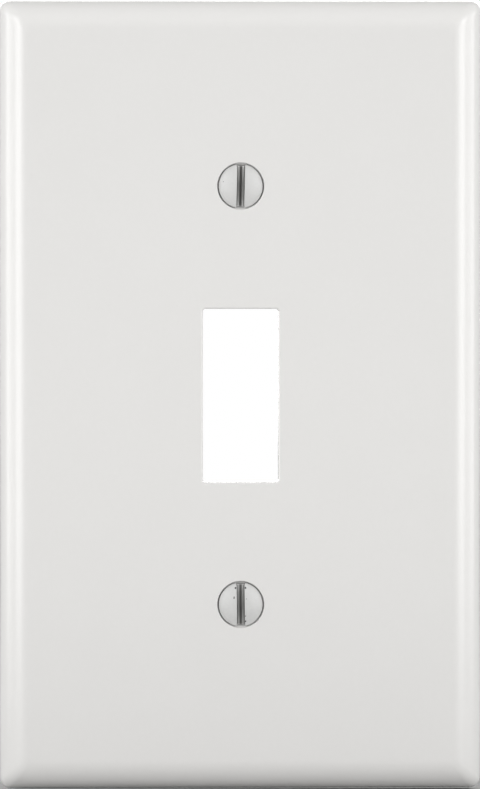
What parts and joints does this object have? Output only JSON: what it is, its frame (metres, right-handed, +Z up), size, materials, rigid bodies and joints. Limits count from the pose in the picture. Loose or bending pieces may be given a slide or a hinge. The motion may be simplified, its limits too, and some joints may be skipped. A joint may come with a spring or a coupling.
{
  "type": "wall plate cover",
  "caption": "Toggle-switch wall plate cover with rounded mitred edges, a tall rectangular opening, countersunk slotted oval-head screws and retaining washers behind.",
  "frame": {"origin": "on the wall plane (the back of the rim), midway between the two screws", "axes": "+Z up, +X to the right as seen from the room, +Y into the wall; the front of the plate faces -Y"},
  "size_m": [0.0698, 0.0137, 0.1142],
  "materials": {
    "plate_plastic": "moulded white thermoset plastic, smooth with a soft gloss and a very fine mottle",
    "screw_enamel": "steel screw with a satin off-white enamelled head; bare dark metal shows in the driver slot, zinc plating on the shank and thread",
    "washer_fibre": "soft fibre, matt"
  },
  "bodies": {
    "cover_plate": {"cover_plate": "plate_plastic"},
    "upper_retaining_washer": {"upper_retaining_washer": "washer_fibre"},
    "upper_screw": {"upper_screw": "screw_enamel"},
    "lower_retaining_washer": {"lower_retaining_washer": "washer_fibre"},
    "lower_screw": {"lower_screw": "screw_enamel"}
  },
  "joints": [
    {"name": "upper_screw_turn", "type": "hinge", "parent": "cover_plate", "child": "upper_retaining_washer", "pos_m": [0, 0, 0.03016], "axis": [0, -1, 0], "range_deg": [0, 3330]},
    {"name": "upper_screw_travel", "type": "slide", "parent": "upper_retaining_washer", "child": "upper_screw", "axis": [0, -1, 0], "range_m": [0, 0.00734]},
    {"name": "lower_screw_turn", "type": "hinge", "parent": "cover_plate", "child": "lower_retaining_washer", "pos_m": [0, 0, -0.03016], "axis": [0, -1, 0], "range_deg": [0, 3330]},
    {"name": "lower_screw_travel", "type": "slide", "parent": "lower_retaining_washer", "child": "lower_screw", "axis": [0, -1, 0], "range_m": [0, 0.00734]}
  ],
  "couplings": [
    {"joint": "upper_screw_turn", "follows": "upper_screw_travel", "rad_per_m": 7915.8},
    {"joint": "lower_screw_turn", "follows": "lower_screw_travel", "rad_per_m": 7915.8}
  ]
}
